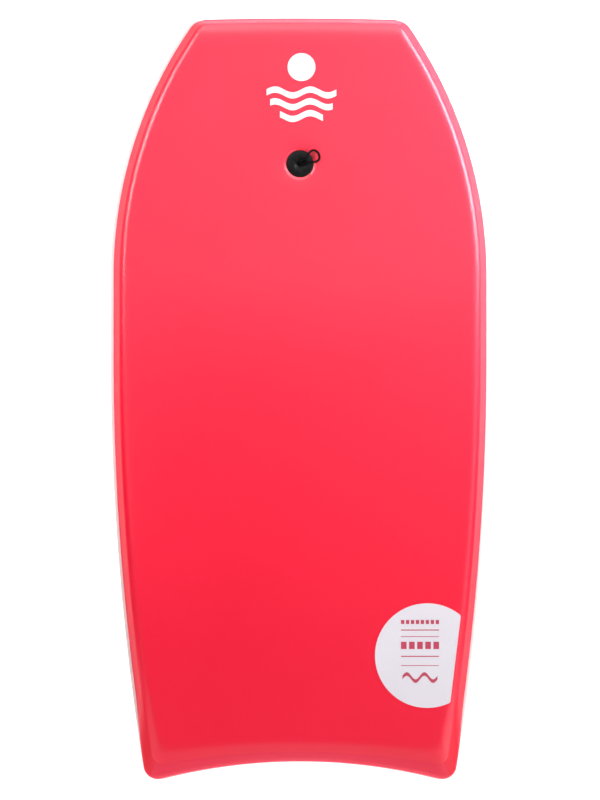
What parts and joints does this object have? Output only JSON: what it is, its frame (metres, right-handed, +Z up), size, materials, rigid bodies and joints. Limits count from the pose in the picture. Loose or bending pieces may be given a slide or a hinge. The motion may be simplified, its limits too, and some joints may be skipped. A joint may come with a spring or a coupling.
{
  "type": "bodyboard",
  "caption": "Crescent-tail foam bodyboard with laminated deck and slick skins, two-part rails, blunt nose, leash plug through the board and a string loop to tie a leash to.",
  "frame": {"origin": "middle of the board's length and width, on the flat slick face that the board lies on", "axes": "+Y along the board towards the nose, +X to the right seen from above, +Z up out of the deck"},
  "size_m": [0.519, 1.0414, 0.0781],
  "materials": {
    "core_foam": "matte",
    "deck_foam": "matte",
    "backing_foam": "matte",
    "slick_plastic": "satin",
    "rail_foam_red": "matte",
    "rail_foam_white": "matte",
    "print_white": "satin",
    "print_ink": "satin",
    "plug_plastic": "satin",
    "string": "matte"
  },
  "bodies": {
    "board": {"core": "core_foam", "deck_skin": "deck_foam", "slick_foam": "backing_foam", "slick_sheet": "slick_plastic", "nose_strip": "rail_foam_red", "tail_strip": "rail_foam_red", "upper_rail_left": "rail_foam_red", "upper_rail_right": "rail_foam_red", "lower_rail_left": "rail_foam_white", "lower_rail_right": "rail_foam_white", "emblem_print": "print_white", "label_print": "print_white", "label_marks": "print_ink", "plug_cap": "plug_plastic", "plug_base": "plug_plastic", "string_knot": "string"},
    "loop": {"string_loop": "string"}
  },
  "joints": [
    {"name": "loop_swing", "type": "hinge", "parent": "board", "child": "loop", "pos_m": [0, 0.32218, 0.05523], "axis": [0.4848, -0.8717, -0.0717], "range_deg": [0, 90]}
  ]
}
